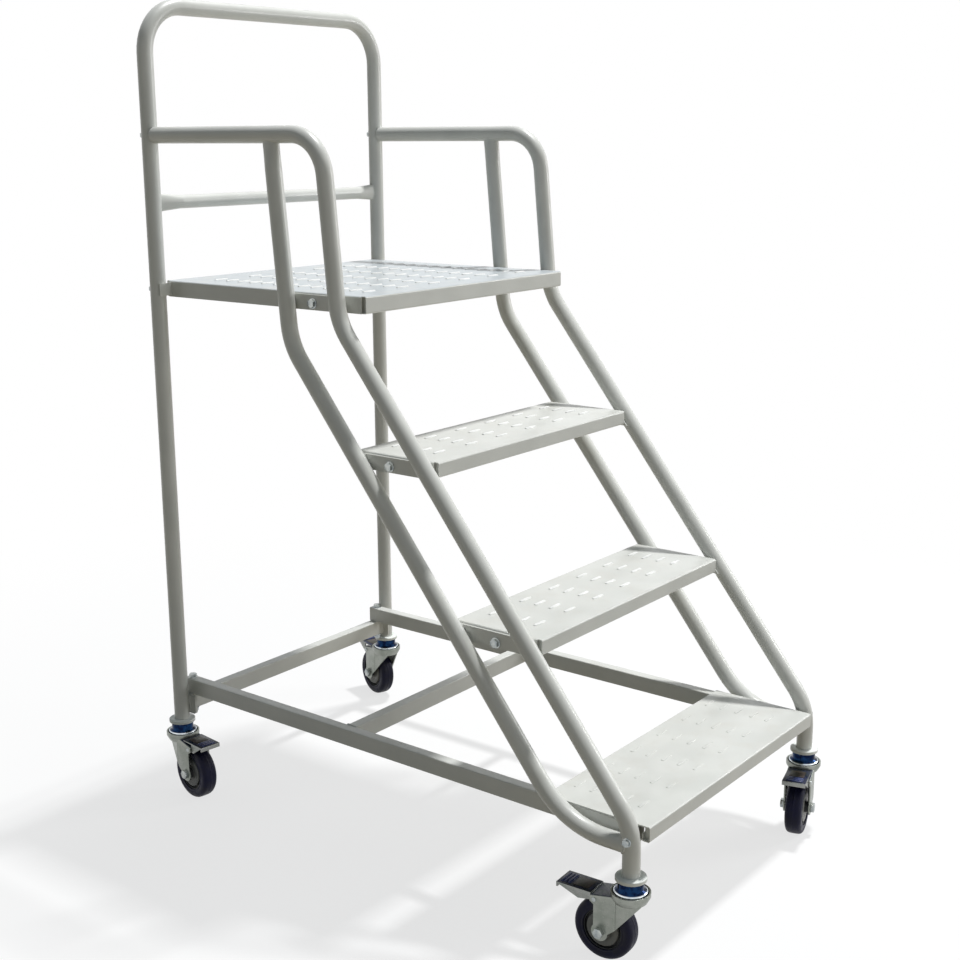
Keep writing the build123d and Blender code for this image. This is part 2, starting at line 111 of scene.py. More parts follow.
def new_material(name):
    """An empty node material with its tree and shader."""
    material = bpy.data.materials.new(name)
    material.use_nodes = True
    tree = material.node_tree
    return material, tree, tree.nodes["Principled BSDF"]


def seen_directly(tree):
    """1 for rays that come from the camera, or from it by way of gloss or glass, and 0 for light."""
    path = tree.nodes.new("ShaderNodeLightPath")
    seen = path.outputs["Is Camera Ray"]
    for ray in ("Is Glossy Ray", "Is Transmission Ray"):
        either = tree.nodes.new("ShaderNodeMath")
        either.operation = "MAXIMUM"
        tree.links.new(seen, either.inputs[0])
        tree.links.new(path.outputs[ray], either.inputs[1])
        seen = either.outputs["Value"]
    return seen


def softbox(name, place, size, power):
    """Square area lamp that looks at the ladder."""
    lamp_data = bpy.data.lights.new(name, "AREA")
    lamp_data.size = size
    lamp_data.energy = power
    lamp = bpy.data.objects.new(name, lamp_data)
    bpy.context.scene.collection.objects.link(lamp)
    lamp.location = place
    lamp.rotation_euler = (AIM - Vector(place)).to_track_quat("-Z", "Y").to_euler()


def floor_material():
    """Pale floor that turns to plain white away from the ladder where it is seen."""
    material, tree, shader = new_material("studio_floor")
    shader.inputs["Roughness"].default_value = 0.9
    shader.inputs["Specular IOR Level"].default_value = 0.0
    seen = seen_directly(tree)
    shade = tree.nodes.new("ShaderNodeMix")
    shade.data_type = "RGBA"
    shade.inputs["A"].default_value = (*FLOOR_BOUNCE, 1)
    shade.inputs["B"].default_value = (*FLOOR_SEEN, 1)
    where = tree.nodes.new("ShaderNodeTexCoord")
    away = tree.nodes.new("ShaderNodeVectorMath")
    away.operation = "LENGTH"
    fade = tree.nodes.new("ShaderNodeMapRange")
    fade.interpolation_type = "SMOOTHSTEP"
    fade.inputs["From Min"].default_value, fade.inputs["From Max"].default_value = FLOOR_FADE
    fade.inputs["To Min"].default_value = FLOOR_WHITE
    whiten = tree.nodes.new("ShaderNodeMath")
    whiten.operation = "MULTIPLY"
    white = tree.nodes.new("ShaderNodeEmission")
    mix = tree.nodes.new("ShaderNodeMixShader")
    link = tree.links.new
    link(seen, shade.inputs["Factor"])
    link(shade.outputs["Result"], shader.inputs["Base Color"])
    link(where.outputs["Object"], away.inputs[0])
    link(away.outputs["Value"], fade.inputs["Value"])
    link(fade.outputs["Result"], whiten.inputs[0])
    link(seen, whiten.inputs[1])
    link(whiten.outputs["Value"], mix.inputs["Fac"])
    link(shader.outputs["BSDF"], mix.inputs[1])
    link(white.outputs["Emission"], mix.inputs[2])
    link(mix.outputs["Shader"], tree.nodes["Material Output"].inputs["Surface"])
    return material


def studio_world():
    """White surroundings where they are seen, and a dim, slightly blue light from all round."""
    world = bpy.data.worlds.new("studio")
    world.use_nodes = True
    bpy.context.scene.world = world
    tree = world.node_tree
    colour = tree.nodes.new("ShaderNodeMix")
    colour.data_type = "RGBA"
    colour.inputs["A"].default_value = (*SKY_LIGHT, 1)
    colour.inputs["B"].default_value = (1, 1, 1, 1)
    tree.links.new(seen_directly(tree), colour.inputs["Factor"])
    tree.links.new(colour.outputs["Result"], tree.nodes["Background"].inputs["Color"])


bpy.ops.object.select_all(action="DESELECT")
bpy.ops.mesh.primitive_plane_add(size=FLOOR_SIZE)
floor = bpy.context.object
floor.name = "floor"
floor.data.materials.append(floor_material())
studio_world()
softbox("key", **KEY)
softbox("front", **FRONT)
softbox("side", **SIDE)
bpy.context.scene.view_settings.view_transform = "Standard"

# %% [markdown]
# ## The finishes
#
# Each finish is a Principled shader with its own small relief and its own uneven colour and gloss. They are
# made from noise on Object coordinates, because every piece keeps its place in its mesh, and the pattern
# then stays put when the casters turn.

# %% Finish helpers
def noise(tree, scale, detail=3.0):
    """Noise on Object coordinates. The scale is in patterns per metre."""
    where = tree.nodes.new("ShaderNodeTexCoord")
    texture = tree.nodes.new("ShaderNodeTexNoise")
    texture.inputs["Scale"].default_value = scale
    texture.inputs["Detail"].default_value = detail
    tree.links.new(where.outputs["Object"], texture.inputs["Vector"])
    return texture.outputs["Fac"]


def spread(tree, value, low, high, to_low=0.0, to_high=1.0):
    """A value between low and high, stretched to another range."""
    scale = tree.nodes.new("ShaderNodeMapRange")
    for socket, number in (("From Min", low), ("From Max", high), ("To Min", to_low), ("To Max", to_high)):
        scale.inputs[socket].default_value = number
    tree.links.new(value, scale.inputs["Value"])
    return scale.outputs["Result"]


def blend(tree, share, first, second):
    """Mix two colours, each a plain colour or the output of a node."""
    mix = tree.nodes.new("ShaderNodeMix")
    mix.data_type = "RGBA"
    tree.links.new(share, mix.inputs["Factor"])
    for socket, colour in (("A", first), ("B", second)):
        if isinstance(colour, tuple):
            mix.inputs[socket].default_value = (*colour, 1)
        else:
            tree.links.new(colour, mix.inputs[socket])
    return mix.outputs["Result"]


def both(tree, first, second):
    """Product of two shares."""
    product = tree.nodes.new("ShaderNodeMath")
    product.operation = "MULTIPLY"
    tree.links.new(first, product.inputs[0])
    tree.links.new(second, product.inputs[1])
    return product.outputs["Value"]


def facing_and_level(tree):
    """How far a face looks up, and its height."""
    where = tree.nodes.new("ShaderNodeTexCoord")
    parts = []
    for source in ("Normal", "Object"):
        part = tree.nodes.new("ShaderNodeSeparateXYZ")
        tree.links.new(where.outputs[source], part.inputs["Vector"])
        parts.append(part.outputs["Z"])
    return parts


def relief(tree, shader, value, height, strength):
    """Fine bumps of a real height in metres."""
    bump = tree.nodes.new("ShaderNodeBump")
    bump.inputs["Strength"].default_value = strength
    bump.inputs["Distance"].default_value = height
    tree.links.new(value, bump.inputs["Height"])
    tree.links.new(bump.outputs["Normal"], shader.inputs["Normal"])


def finish(name, colours, gloss, clouds, grain, metal=0.0, shine=0.5):
    """Finish with clouds of two colours, a range of roughness, and a grain (scale, height, strength)."""
    material, tree, shader = new_material(name)
    share = spread(tree, noise(tree, clouds), 0.35, 0.65)
    tree.links.new(blend(tree, share, *colours), shader.inputs["Base Color"])
    rough = spread(tree, noise(tree, 4.0 * clouds), 0.3, 0.7, *gloss)
    tree.links.new(rough, shader.inputs["Roughness"])
    scale, height, strength = grain
    relief(tree, shader, noise(tree, scale, detail=2.0), height, strength)
    shader.inputs["Metallic"].default_value = metal
    shader.inputs["Specular IOR Level"].default_value = shine
    return material, tree, shader


# %% [markdown]
# ## Powder coat
#
# The frame and the treads are sprayed with powder and baked. The melt leaves a faint orange peel, about a
# millimetre from crest to crest. Tops that are walked on and beams near the floor are a little dusty: a
# second, browner colour lies on the faces that look up, in patches. The deck's tops are painted greyer and
# bluer, a painted reflection of blue sky. The grips have a lighter coat, a painted highlight, and more gloss.

# %% Powder coat
COAT = ((0.590, 0.600, 0.568), (0.640, 0.648, 0.615))
DUST = (0.560, 0.545, 0.495)
# painted reflection of blue sky: the colour of the platform deck's tops, greyer and bluer than the coat
DECK_SKY_REFLECTION = (0.450, 0.490, 0.510)
DECK_LEVEL = (0.968, 0.974)     # only the platform has faces that look up between these levels
# painted highlight: the grips' colour is lighter than the coat round them
GRIP_HIGHLIGHT_COAT = ((0.760, 0.765, 0.745), (0.840, 0.840, 0.825))


def powder_coat():
    material, tree, shader = finish("powder_coat", COAT, gloss=(0.36, 0.50), clouds=14.0,
                                    grain=(900.0, 0.00006, 0.6))
    upward, level = facing_and_level(tree)
    top = spread(tree, upward, 0.5, 0.9)
    low, high = DECK_LEVEL
    band = both(tree, spread(tree, level, low - MM, low), spread(tree, level, high + MM, high))
    dusty = spread(tree, noise(tree, 24.0, detail=5.0), 0.50, 0.72, to_high=0.35)
    coat = shader.inputs["Base Color"].links[0].from_socket
    # painted reflection: the platform deck's faces that look up take the bluer colour
    coat = blend(tree, both(tree, top, band), coat, DECK_SKY_REFLECTION)
    tree.links.new(blend(tree, both(tree, top, dusty), coat, DUST), shader.inputs["Base Color"])
    shader.inputs["Coat Weight"].default_value = 0.3
    shader.inputs["Coat Roughness"].default_value = 0.22
    return material


# the grips' lighter colour is a painted highlight; their lower roughness is real gloss
grip_highlight_coat = finish("grip_highlight_coat", GRIP_HIGHLIGHT_COAT, gloss=(0.28, 0.40), clouds=30.0,
                     grain=(900.0, 0.00005, 0.5))[0]

# %% [markdown]
# ## Zinc plate
#
# The casters' pressed steel is plated with zinc. The plate is a flat, slightly green grey on the upright
# sides. The low flat tops are painted darker, between navy and dark green: a painted reflection of a dark
# sky. The pedals' tops, ribs and panels are painted dark blue and dark olive the same way, and the bolts are
# bright.

# %% Zinc plate
# painted reflection: zinc that looks up below this level is painted dark
DARK_REFLECTION_BELOW = 117.5 * MM   # the cup's rim above this level is bright


def plated(name, side_colours, reflection_colours, gloss):
    """Zinc whose low faces that look up are painted darker than its sides, as a painted dark reflection, and
    less like bare metal.
    """
    material, tree, shader = finish(name, side_colours, gloss, clouds=60.0,
                                    grain=(1800.0, 0.00003, 0.5), shine=0.25)
    upward, level = facing_and_level(tree)
    below_rim = spread(tree, level, DARK_REFLECTION_BELOW, DARK_REFLECTION_BELOW - MM)
    share = both(tree, spread(tree, upward, 0.55, 0.85), below_rim)
    # painted dark reflection for the low faces that look up
    tops = blend(tree, spread(tree, noise(tree, 90.0, detail=4.0), 0.4, 0.6), *reflection_colours)
    sides = shader.inputs["Base Color"].links[0].from_socket
    tree.links.new(blend(tree, share, sides, tops), shader.inputs["Base Color"])
    tree.links.new(spread(tree, share, 0.0, 1.0, 0.85, 0.0), shader.inputs["Metallic"])
    return material


fork_zinc = plated("fork_zinc", ((0.250, 0.272, 0.240), (0.320, 0.335, 0.305)),
                   ((0.010, 0.032, 0.034), (0.014, 0.020, 0.060)), (0.26, 0.40))
# the pedal's tops are painted dark: a painted reflection of a dark sky
pedal_zinc = plated("pedal_zinc", ((0.230, 0.250, 0.230), (0.300, 0.300, 0.290)),
                    ((0.006, 0.014, 0.018), (0.010, 0.014, 0.045)), (0.24, 0.36))
# the pedal's ribs and panel are painted dark blue and dark olive: painted reflection of a dark sky
rib_zinc = finish("rib_zinc", ((0.012, 0.020, 0.085), (0.020, 0.036, 0.130)), (0.26, 0.38), 90.0,
                  (1500.0, 0.00003, 0.5), shine=0.3)[0]
panel_zinc = finish("panel_zinc", ((0.026, 0.030, 0.018), (0.046, 0.032, 0.028)), (0.32, 0.45), 80.0,
                    (1500.0, 0.00003, 0.5), shine=0.25)[0]
bolt_zinc = finish("bolt_zinc", ((0.30, 0.33, 0.34), (0.46, 0.48, 0.46)), (0.22, 0.38), 120.0,
                   (2000.0, 0.00003, 0.5), metal=1.0)[0]

# %% [markdown]
# The swivel's fixed half is one turned piece: a neck painted dark blue, as a painted dark reflection, over a
# bright race. Its two colours meet at one level, which all four casters share, so the height in Object
# coordinates divides them.

# %% Swivel head
NECK_FROM = 122.6 * MM
# painted dark reflection on the swivel's neck
NECK_DARK_REFLECTION = ((0.004, 0.008, 0.030), (0.008, 0.030, 0.085))


def head_zinc():
    material, tree, shader = finish("head_zinc", ((0.60, 0.66, 0.70), (0.80, 0.84, 0.86)), (0.12, 0.24), 90.0,
                                    (1600.0, 0.00003, 0.4), metal=1.0)
    level = facing_and_level(tree)[1]
    # the neck above NECK_FROM is painted dark: a painted reflection
    neck = blend(tree, spread(tree, noise(tree, 120.0), 0.4, 0.6), *NECK_DARK_REFLECTION)
    bright = shader.inputs["Base Color"].links[0].from_socket
    share = spread(tree, level, NECK_FROM, NECK_FROM + 0.8 * MM)
    tree.links.new(blend(tree, share, bright, neck), shader.inputs["Base Color"])
    return material


# %% [markdown]
# ## Plastic and rubber
#
# The rings round the legs' ends are pale plastic. The wheels' thread guards are mid grey plastic and the
# ring that carries the tyre is nearly black. The tyres are a blue-black rubber, smooth from the mould on
# their sides.

# %% Plastic and rubber
ring_plastic = finish("ring_plastic", ((0.72, 0.77, 0.73), (0.82, 0.84, 0.82)), (0.30, 0.44), 40.0,
                      (1500.0, 0.00004, 0.5))[0]
guard_plastic = finish("guard_plastic", ((0.205, 0.212, 0.205), (0.265, 0.270, 0.262)), (0.36, 0.50), 50.0,
                       (1400.0, 0.00005, 0.6), shine=0.3)[0]
hub_plastic = finish("hub_plastic", ((0.022, 0.024, 0.026), (0.040, 0.042, 0.045)), (0.40, 0.55), 50.0,
                     (1400.0, 0.00005, 0.6), shine=0.25)[0]
tyre_rubber = finish("tyre_rubber", ((0.004, 0.004, 0.013), (0.008, 0.009, 0.034)), (0.34, 0.55), 30.0,
                     (1100.0, 0.00010, 0.7), shine=0.16)[0]

FINISHES = {
    "paint": powder_coat(),
    "zinc": fork_zinc,
    "collar_plastic": ring_plastic,
    "hub_plastic": hub_plastic,
    "tyre_rubber": tyre_rubber,
}
swivel_zinc = head_zinc()
for part in frame["record"]["subparts"]:
    node = nodes[part["node"]]
    node.data.materials.clear()
    node.data.materials.append(FINISHES[part["material_slot"]])
print("finishes:", ", ".join(FINISHES))

# %% [markdown]
# ## Modelling helpers
#
# Small parts are modelled as at the bench: a primitive at its size, shaped in edit mode, then copied to its
# places. An operator works on whatever is selected, so each helper first selects only its own piece.

# %% Modelling helpers
def alone(piece):
    """Make a piece the only selected and the active object."""
    bpy.ops.object.select_all(action="DESELECT")
    piece.select_set(True)
    bpy.context.view_layer.objects.active = piece


def take(name):
    """Name the primitive that was just added."""
    piece = bpy.context.object
    piece.name = name
    return piece


def block(name, middle, size):
    """Box from its middle and its three sizes."""
    bpy.ops.object.select_all(action="DESELECT")
    bpy.ops.mesh.primitive_cube_add(size=1, location=middle)
    piece = take(name)
    piece.scale = size
    bpy.ops.object.transform_apply(location=True, rotation=True, scale=True)
    return piece


def edit_faces(piece, rule):
    """Go to edit mode with only the faces selected that the rule accepts by middle and normal."""
    alone(piece)
    bpy.ops.object.mode_set(mode="EDIT")
    bpy.ops.mesh.select_mode(type="FACE")
    bpy.ops.mesh.select_all(action="DESELECT")
    shape = bmesh.from_edit_mesh(piece.data)
    for face in shape.faces:
        face.select_set(bool(rule(face.calc_center_median(), face.normal)))
    bmesh.update_edit_mesh(piece.data)


def edit_points(piece, rule):
    """Go to edit mode with only the points selected that the rule accepts."""
    alone(piece)
    bpy.ops.object.mode_set(mode="EDIT")
    bpy.ops.mesh.select_mode(type="VERT")
    bpy.ops.mesh.select_all(action="DESELECT")
    shape = bmesh.from_edit_mesh(piece.data)
    for point in shape.verts:
        point.select_set(bool(rule(point.co)))
    shape.select_flush(True)
    bmesh.update_edit_mesh(piece.data)


def object_mode():
    if bpy.context.mode != "OBJECT":
        bpy.ops.object.mode_set(mode="OBJECT")


def copy_of(piece, name, place=Matrix()):
    """A copy with its own mesh, moved to its place."""
    mesh = piece.data.copy()
    mesh.transform(place)
    twin = bpy.data.objects.new(name, mesh)
    bpy.context.scene.collection.objects.link(twin)
    return twin


def joined(name, pieces):
    """Several pieces made one."""
    bpy.ops.object.select_all(action="DESELECT")
    for piece in pieces:
        piece.select_set(True)
    bpy.context.view_layer.objects.active = pieces[0]
    bpy.ops.object.join()
    return take(name)


def towards(place, direction):
    """Matrix that takes a small part from the origin, pointing along +Z, to its place and direction."""
    return Matrix.Translation(place) @ Vector(direction).to_track_quat("Z", "Y").to_matrix().to_4x4()


def hand_over(piece, body, material, angle=40):
    """Smooth a finished piece and give it its body and its finish."""
    object_mode()
    alone(piece)
    bpy.ops.object.transform_apply(location=True, rotation=True, scale=True)
    bpy.ops.object.shade_smooth_by_angle(angle=math.radians(angle))
    piece.data.materials.clear()
    piece.data.materials.append(material)
    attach(piece, body)


def chain(name, points):
    """Line of points, each extruded from the one before. It closes where it ends at its start."""
    bpy.ops.object.select_all(action="DESELECT")
    bpy.ops.mesh.primitive_plane_add(size=MM)
    line = take(name)
    bpy.ops.object.mode_set(mode="EDIT")
    bpy.ops.mesh.select_mode(type="VERT")
    bpy.ops.mesh.merge(type="CENTER")
    bpy.ops.transform.translate(value=points[0])
    for before, after in zip(points, points[1:]):
        bpy.ops.mesh.extrude_region_move(TRANSFORM_OT_translate={"value": after - before})
    bpy.ops.mesh.select_all(action="SELECT")
    bpy.ops.mesh.remove_doubles(threshold=0.001 * MM)
    bpy.ops.object.mode_set(mode="OBJECT")
    return line


def lathe(name, outline, centre, axis, out, steps=72):
    """Turned piece: a line of corners (radius, place along the axis) in millimetres, spun round the axis."""
    centre, axis, out = Vector(centre), Vector(axis), Vector(out)
    piece = chain(name, [centre + out * (r * MM) + axis * (h * MM) for r, h in outline])
    bpy.ops.object.mode_set(mode="EDIT")
    bpy.ops.mesh.select_all(action="SELECT")
    bpy.ops.mesh.spin(steps=steps, angle=2 * math.pi, center=centre, axis=axis)
    bpy.ops.mesh.select_all(action="SELECT")
    bpy.ops.mesh.remove_doubles(threshold=0.001 * MM)
    bpy.ops.mesh.normals_make_consistent(inside=False)
    bpy.ops.object.mode_set(mode="OBJECT")
    return piece


# %% [markdown]
# ## Grips pressed into the treads
#
# The sheet of each tread is pressed from below into rows of short ridges that run across it. One ridge
# starts as a low round disc. Its halves are pulled apart into a bar with round ends, and the top is then
# inset and lifted in three small steps, which gives the soft shoulder of pressed sheet. Copies of it fill
# each tread by rows and columns. One ridge has few faces, because there are about 150 of them.

# %% One grip
GRIP_R = 3.1 * MM
GRIP_STRAIGHT = 24.0 * MM
GRIP_STEPS = ((0.3, 0.70), (0.5, 0.60), (0.6, 0.25))   # inset and rise of each step, in millimetres


def grip_ridge():
    bpy.ops.object.select_all(action="DESELECT")
    bpy.ops.mesh.primitive_cylinder_add(vertices=16, radius=GRIP_R, depth=0.4 * MM)
    ridge = take("grip")
    for side in (-1, 1):
        edit_points(ridge, lambda point: point.x * side > 0.01 * GRIP_R)
        bpy.ops.transform.translate(value=(side * GRIP_STRAIGHT / 2, 0, 0))
        object_mode()
    edit_faces(ridge, lambda middle, normal: normal.z > 0.9)
    for inset, rise in GRIP_STEPS:
        bpy.ops.mesh.inset(thickness=inset * MM)
        bpy.ops.transform.translate(value=(0, 0, rise * MM))
    object_mode()
    return ridge


grip = grip_ridge()
print("grip:", len(grip.data.polygons), "faces")

# %% Grips on the treads
GRIP_COLUMNS = [n * 83.5 * MM for n in (-2.5, -1.5, -0.5, 0.5, 1.5, 2.5)]
GRIP_FIRST_ROW = 49.5 * MM
GRIP_PITCH = 29.5 * MM
GRIP_ROWS = {"bottom_tread": 5, "lower_tread": 4, "upper_tread": 4, "platform": 13}
# the bottom tread's grips keep the top's own coat, without the painted highlight of the other grips
GRIP_WORN = 0.55            # height left on the bottom tread, where the grips are as dusty as its top

for tread, rows in GRIP_ROWS.items():
    low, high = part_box(tread)
    worn = tread == "bottom_tread"
    height = Matrix.Diagonal((1, 1, GRIP_WORN if worn else 1, 1))
    ridges = []
    for row in range(rows):
        for x in GRIP_COLUMNS:
            place = Matrix.Translation((x, low[1] + GRIP_FIRST_ROW + row * GRIP_PITCH, high[2]))
            ridges.append(copy_of(grip, "ridge", place @ height))
    count = len(ridges)
    grips = joined(f"{tread}_grips", ridges)
    # all grips but the bottom tread's get the lighter coat of the painted highlight
    hand_over(grips, "frame", FINISHES["paint"] if worn else grip_highlight_coat, angle=60)
    print(tread, count, "grips")

# %% [markdown]
# ## Bolts and nuts
#
# The treads, the platform and the base are screwed together with 8 mm bolts. A head is a six-sided cylinder
# whose top is inset and lifted, so that its corners are chamfered, on a thin round washer. The nut has the
# same outline with the bolt's end standing out of it. Both are modelled once, pointing up, and copied.

# %% One bolt head and one nut
HEAD_R = 7.4 * MM
HEAD_T = 5.3 * MM
HEAD_CHAMFER = 1.1 * MM
NUT_T = 6.2 * MM
NUT_CHAMFER = 0.9 * MM
WASHER_R = 8.8 * MM
WASHER_T = 1.4 * MM
WASHER_EDGE = 0.3 * MM
THREAD_R = 4.0 * MM
THREAD_OUT = 9.5 * MM       # bolt's end above the washer
THREAD_CHAMFER = 0.6 * MM


def cylinder(name, sides, radius, low, high):
    """Upright cylinder round the Z axis between two levels."""
    bpy.ops.object.select_all(action="DESELECT")
    middle = (0, 0, (low + high) / 2)
    bpy.ops.mesh.primitive_cylinder_add(vertices=sides, radius=radius, depth=high - low, location=middle)
    piece = take(name)
    bpy.ops.object.transform_apply(location=True, rotation=True, scale=True)
    return piece


def raise_top(piece, inset, rise):
    """Inset the top and lift it, which chamfers its edge."""
    edit_faces(piece, lambda middle, normal: normal.z > 0.9)
    bpy.ops.mesh.inset(thickness=inset)
    bpy.ops.transform.translate(value=(0, 0, rise))
    object_mode()


def washer():
    disc = cylinder("washer", 32, WASHER_R, 0, WASHER_T)
    edit_faces(disc, lambda middle, normal: normal.z > 0.9)
    bpy.ops.mesh.bevel(offset=WASHER_EDGE, segments=2)
    object_mode()
    return disc


def six_sides(name, height, chamfer):
    """Six-sided head on a washer, its upper corners cut back."""
    head = cylinder(name, 6, HEAD_R, WASHER_T, WASHER_T + height)
    raise_top(head, chamfer, 0.5 * chamfer)
    return joined(name, [head, washer()])


def nut_with_end():
    body = six_sides("nut", NUT_T, NUT_CHAMFER)
    end = cylinder("thread", 20, THREAD_R, 0, WASHER_T + THREAD_OUT)
    raise_top(end, THREAD_CHAMFER, THREAD_CHAMFER)
    return joined("nut", [body, end])


bolt_head = six_sides("bolt_head", HEAD_T, HEAD_CHAMFER)
nut = nut_with_end()
print("bolt head:", len(bolt_head.data.polygons), "faces, nut:", len(nut.data.polygons), "faces")

# %% [markdown]
# The places come from the model: on the step brackets between the side tubes, through the front legs into
# the base rails, through the rear posts into the platform's ears and the hand rails, and down through the
# rails and the rear crossbar.

# %% Bolts and nuts in their places
SIDES = (("left", -1), ("right", 1))
FRAME_HALF = 292.0
TUBE_R = 14.0
FRONT_Y = -527.0
REAR_Y = 473.0
BRACKET_BOLTS = ((107.0, 953.0), (-53.0, 702.0), (-265.0, 450.0))    # y and z on the brackets
TREAD_INNER = 271.7         # inner face of the treads' side flanges
RAIL_INNER = 252.0
RAIL_MIDDLE = 262.0
RAIL_TOP = 218.0
CROSSBAR_LOW = 158.0
LEG_BOLT_Z = 204.0
LEG_NUT_Y = -511.0
RAIL_BOLT_Y = 471.0
POST_BOLTS_Z = (1221.0, 956.0)
ON_TUBE = TUBE_R - 0.6      # a flat washer lies a little below a round tube's crest
SMALL = 0.8                 # 6 mm bolts against 8 mm ones


def fasteners(side):
    """Heads and nuts of one side: which, place in millimetres, direction, and size against an 8 mm bolt."""
    rows = []
    for y, z in BRACKET_BOLTS:
        rows.append((bolt_head, (side * (FRAME_HALF - TUBE_R), y, z), (side, 0, 0), 1.0))
        rows.append((nut, (side * TREAD_INNER, y, z), (-side, 0, 0), 1.0))
    rows.append((bolt_head, (side * (FRAME_HALF + ON_TUBE), FRONT_Y, LEG_BOLT_Z), (side, 0, 0), SMALL))
    rows.append((nut, (side * RAIL_INNER, LEG_NUT_Y, LEG_BOLT_Z), (-side, 0, 0), SMALL))
    for z in POST_BOLTS_Z:
        rows.append((bolt_head, (side * FRAME_HALF, REAR_Y + ON_TUBE, z), (0, 1, 0), SMALL))
    rows.append((bolt_head, (side * RAIL_MIDDLE, RAIL_BOLT_Y, RAIL_TOP), (0, 0, 1), 1.0))
    rows.append((nut, (side * RAIL_MIDDLE, RAIL_BOLT_Y, CROSSBAR_LOW), (0, 0, -1), 1.0))
    return rows


for side_name, side in SIDES:
    placed = [copy_of(small, "fastener", towards(Vector(place) * MM, direction) @ Matrix.Scale(size, 4))
              for small, place, direction, size in fasteners(side)]
    count = len(placed)
    hand_over(joined(f"bolts_{side_name}", placed), "frame", bolt_zinc, angle=30)
    print("bolts and nuts", side_name, count)

# %% [markdown]
# ## Weld beads
#
# The mid bar, the inner tubes, the step brackets and the base are welded, and the powder lies over the
# beads. A bead is a chain of points along the joint, made a curve with a thickness that swells and thins
# from point to point, as a weld pool does, and then a mesh. Round a tube's end the line follows the wall
# of the tube that it meets: the points lie where the two walls cross.

# %% Weld beads
BEAD_R = 2.1 * MM
FINE_BEAD_R = 1.5 * MM
BEAD_STEP = 1.9             # from one swelling or thin place to the next
BEAD_THIN = 0.80            # thin place's share of the radius
BEAM_HALF = (10.0, 15.0)    # half width and half height of the base's beams


def evenly(points, closed=False):
    """Points in millimetres spread along a line of corners at the bead's step, as vectors in metres."""
    corners = [Vector(point) for point in points]
    if closed:
        corners.append(corners[0])
    placed = []
    for before, after in zip(corners, corners[1:]):
        count = max(1, round((after - before).length / BEAD_STEP))
        placed += [before.lerp(after, n / count) * MM for n in range(count)]
    placed.append(corners[-1] * MM)
    return placed


def bead(points, closed=False, radius=BEAD_R):
    """One weld bead along a line of corners in millimetres."""
    line = chain("bead", evenly(points, closed))
    alone(line)
    bpy.ops.object.convert(target="CURVE")
    line = bpy.context.object
    line.data.bevel_depth = radius
    line.data.bevel_resolution = 1
    line.data.use_fill_caps = True
    for n, point in enumerate(line.data.splines[0].points):
        point.radius = 1.0 if n % 2 else BEAD_THIN
    bpy.ops.object.convert(target="MESH")
    return bpy.context.object


def round_end(half_x, half_n, centre, along, across, wall, steps=36):
    """Points where an oval tube's end meets a frame tube that runs along `wall`.

    The end's middle is on the frame tube's centre line. `along` points into the oval tube, and half_x and
    half_n are its half sizes square to the wall and along it.
    """
    points = []
    for n in range(steps):
        angle = 2 * math.pi * n / steps
        x, offset = half_x * math.cos(angle), half_n * math.sin(angle)
        depth = math.sqrt(TUBE_R ** 2 - min(abs(x), TUBE_R - 0.5) ** 2)
        points.append(centre + across * x + wall * offset + along * depth)
    return points


def level_bead(x, y, z_low, z_high, slope_y=0.0):
    """Upright bead, or one that leans along Y by slope_y for each unit of height."""
    return bead([(x, y, z_low), (x, y + slope_y * (z_high - z_low), z_high)])


def beam_end(x, y, z):
    """Bead round the end of a beam that runs along X."""
    w, h = BEAM_HALF
    return bead([(x, y - w, z - h), (x, y + w, z - h), (x, y + w, z + h), (x, y - w, z + h)], closed=True)


# %% [markdown]
# The side tubes lean, and the brackets' ends lie on their centre lines. The line of each tube's middle is
# worked out from the stair slope of 200 mm forward for 250 mm up.

# %% Beads in their places
STAIR_SLOPE = 0.8
LEG_BEND_Z = 223.0
INNER_SHIFT = 112.0 * math.hypot(1, STAIR_SLOPE)
FOOT_Z = 193.0
MID_BAR = (1106.0, 16.0, 5.1)     # level, half height and half thickness of its flattened ends with the bead
BRACKETS_Z = ((442.0, 467.0), (692.0, 717.0))    # lower and upper edge of the two treads' brackets
FLAT_BAR_X = 278.8          # beads' line on the outer face of a bracket or an end plate
BESIDE_TUBE = 9.0           # bead's place beside a tube's middle on a flat bar's face
MID_CROSSBAR_Y = 70.0
END_PLATE_X = 273.0
END_PLATE_Z = (156.0, 188.0)
ALONG_X, ALONG_Y, ALONG_Z = (Vector(axis) for axis in ((1, 0, 0), (0, 1, 0), (0, 0, 1)))


def outer_y(z):
    """Outer side tube's centre line along Y, from its level."""
    return FRONT_Y + (z - LEG_BEND_Z) * STAIR_SLOPE


beads = []
for side_name, side in SIDES:
    x = side * FRAME_HALF
    z, half_h, half_t = MID_BAR
    beads.append(bead(round_end(half_t, half_h, Vector((x, REAR_Y, z)), -side * ALONG_X, ALONG_Y, ALONG_Z),
                      closed=True, radius=FINE_BEAD_R))
    beads.append(bead(round_end(TUBE_R, TUBE_R, Vector((x, FRONT_Y, FOOT_Z)), ALONG_Y, ALONG_X, ALONG_Z),
                      closed=True))
    for low, high in BRACKETS_Z:
        for start in (outer_y(low) + BESIDE_TUBE, outer_y(low) + INNER_SHIFT - BESIDE_TUBE):
            beads.append(level_bead(side * FLAT_BAR_X, start, low, high, STAIR_SLOPE))
    beads.append(beam_end(side * RAIL_INNER, MID_CROSSBAR_Y, RAIL_TOP - BEAM_HALF[1]))
    beads.append(beam_end(side * END_PLATE_X, REAR_Y, CROSSBAR_LOW + BEAM_HALF[1]))
    for shift in (-BESIDE_TUBE, BESIDE_TUBE):
        beads.append(level_bead(side * FLAT_BAR_X, REAR_Y + shift, *END_PLATE_Z))
count = len(beads)
welds = joined("weld_beads", beads)
hand_over(welds, "frame", FINISHES["paint"], angle=80)
